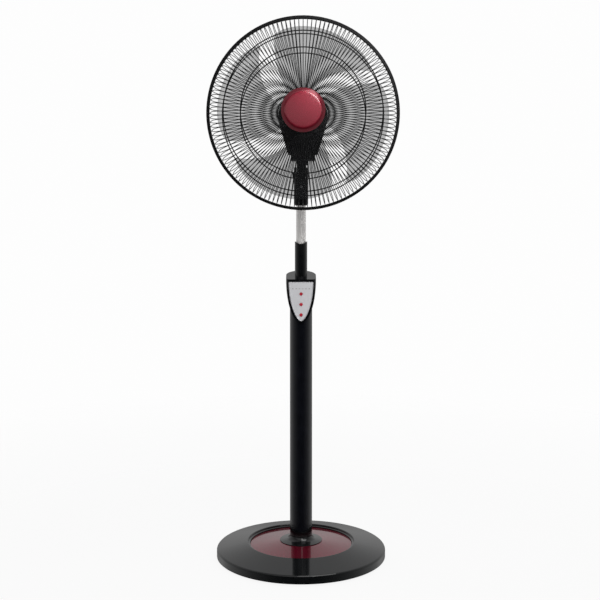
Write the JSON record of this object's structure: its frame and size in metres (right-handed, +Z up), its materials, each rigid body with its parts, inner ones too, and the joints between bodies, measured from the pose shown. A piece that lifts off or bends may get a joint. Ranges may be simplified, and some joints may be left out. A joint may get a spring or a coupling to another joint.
{
  "type": "pedestal fan",
  "caption": "Tall oscillating pedestal fan with a round weighted base, telescopic mast, touch-button head, domed wire guard and smoke-grey blades.",
  "frame": {"origin": "on the floor under the axis of the column, which is within 7 mm of the middle of the outline box", "axes": "+Z up, the fan blows towards -Y, +X to the right seen from the front"},
  "size_m": [0.4399, 0.4231, 1.2876],
  "materials": {
    "base_gloss": "high-gloss black moulding",
    "disc_red": "dark metallic red, clear coated",
    "ballast_steel": "black painted steel plate",
    "foot_rubber": "matt black rubber",
    "fastener_steel": "zinc plated steel",
    "collar_black": "semi-gloss black",
    "column_black": "gloss black powder coat",
    "inner_plastic": "black nylon",
    "sleeve_black": "gloss black powder coat",
    "head_gloss": "high-gloss black moulding",
    "panel_silver": "satin silver paint",
    "board_green": "solder mask",
    "switch_black": "black moulding",
    "light_red": "tinted clear lens",
    "button_red": "red moulding",
    "knob_black": "black moulding",
    "tube_chrome": "chromium plated tube",
    "neck_black": "fine satin black",
    "bolt_black": "blackened steel",
    "pin_steel": "ground steel",
    "housing_black": "satin black moulding",
    "bronze": "sintered bronze",
    "core_steel": "laminated steel",
    "copper": "enamelled copper wire",
    "cast_metal": "die casting",
    "guard_wire": "black powder coat",
    "band_black": "black moulding",
    "cap_red": "metallic red, clear coated",
    "blade_smoke": "clear smoke-grey styrene"
  },
  "bodies": {
    "stand": {"base_cover": "base_gloss", "base_disc": "disc_red", "base_weight": "ballast_steel", "base_feet": "foot_rubber", "base_screws": "fastener_steel", "base_bolt": "fastener_steel", "collar_nut": "fastener_steel", "base_collar": "collar_black", "column_tube": "column_black", "column_plug": "inner_plastic", "sleeve_spacer": "inner_plastic", "cord_grommet": "foot_rubber", "sleeve_tube": "sleeve_black", "sleeve_bush": "inner_plastic", "control_front_shell": "head_gloss", "control_rear_shell": "head_gloss", "shell_screws": "fastener_steel", "control_panel": "panel_silver", "circuit_board": "board_green", "button_switches": "switch_black", "indicator_lights": "light_red"},
    "power_key": {"power_button": "button_red"},
    "speed_key": {"speed_button": "button_red"},
    "swing_key": {"swing_button": "button_red"},
    "lock_knob": {"height_lock_knob": "knob_black"},
    "mast": {"inner_tube": "tube_chrome", "tube_end_plug": "inner_plastic", "neck_post": "neck_black", "neck_screw": "fastener_steel", "tilt_bolt": "bolt_black", "tilt_nut": "fastener_steel"},
    "tilting_bracket": {"tilt_bracket": "neck_black", "swivel_pin": "pin_steel"},
    "motor_head": {"swivel_base": "housing_black", "swivel_bush": "bronze", "motor_front_cover": "housing_black", "motor_rear_cover": "housing_black", "cover_screws": "fastener_steel", "motor_stator": "core_steel", "motor_windings": "copper", "motor_front_bracket": "cast_metal", "motor_rear_bracket": "cast_metal", "shaft_bearings": "bronze", "swing_motor": "cast_metal", "rear_guard_plate": "guard_wire", "rear_guard_wires": "guard_wire", "rear_guard_rings": "guard_wire", "guard_nut": "inner_plastic", "guard_band": "band_black", "front_guard_plate": "guard_wire", "front_guard_wires": "guard_wire", "front_guard_rings": "guard_wire", "centre_cap": "cap_red", "cap_screws": "fastener_steel"},
    "crank": {"swing_crank": "cast_metal"},
    "rotor": {"motor_shaft": "pin_steel", "motor_rotor": "core_steel", "fan_blade": "blade_smoke", "blade_nut": "inner_plastic"}
  },
  "joints": [
    {"name": "height_slide", "type": "slide", "parent": "stand", "child": "mast", "axis": [0, 0, 1], "range_m": [-0.084, 0.15]},
    {"name": "head_tilt", "type": "hinge", "parent": "mast", "child": "tilting_bracket", "pos_m": [0, 0, 0.9334], "axis": [-1, 0, 0], "range_deg": [-10, 20]},
    {"name": "head_swivel", "type": "hinge", "parent": "tilting_bracket", "child": "motor_head", "pos_m": [0, 0, 0.9684], "axis": [0, 0, 1], "range_deg": [-40, 40]},
    {"name": "blade_spin", "type": "hinge", "parent": "motor_head", "child": "rotor", "pos_m": [0.0045, 0, 1.0676], "axis": [0, -1, 0], "continuous": true},
    {"name": "crank_turn", "type": "hinge", "parent": "motor_head", "child": "crank", "pos_m": [0.0045, 0.022, 0.9979], "axis": [0, 0, 1], "range_deg": [-90, 90]},
    {"name": "power_press", "type": "slide", "parent": "stand", "child": "power_key", "axis": [0, 1, 0], "range_m": [0, 0.0008], "stiffness_N_per_m": 1500},
    {"name": "speed_press", "type": "slide", "parent": "stand", "child": "speed_key", "axis": [0, 1, 0], "range_m": [0, 0.0008], "stiffness_N_per_m": 1500},
    {"name": "swing_press", "type": "slide", "parent": "stand", "child": "swing_key", "axis": [0, 1, 0], "range_m": [0, 0.0008], "stiffness_N_per_m": 1500},
    {"name": "lock_turn", "type": "hinge", "parent": "stand", "child": "lock_knob", "pos_m": [0, 0.03, 0.7417], "axis": [0, 1, 0], "range_deg": [0, 360]}
  ],
  "couplings": [
    {"joint": "crank_turn", "follows": "head_swivel", "ratio": 2.25}
  ]
}
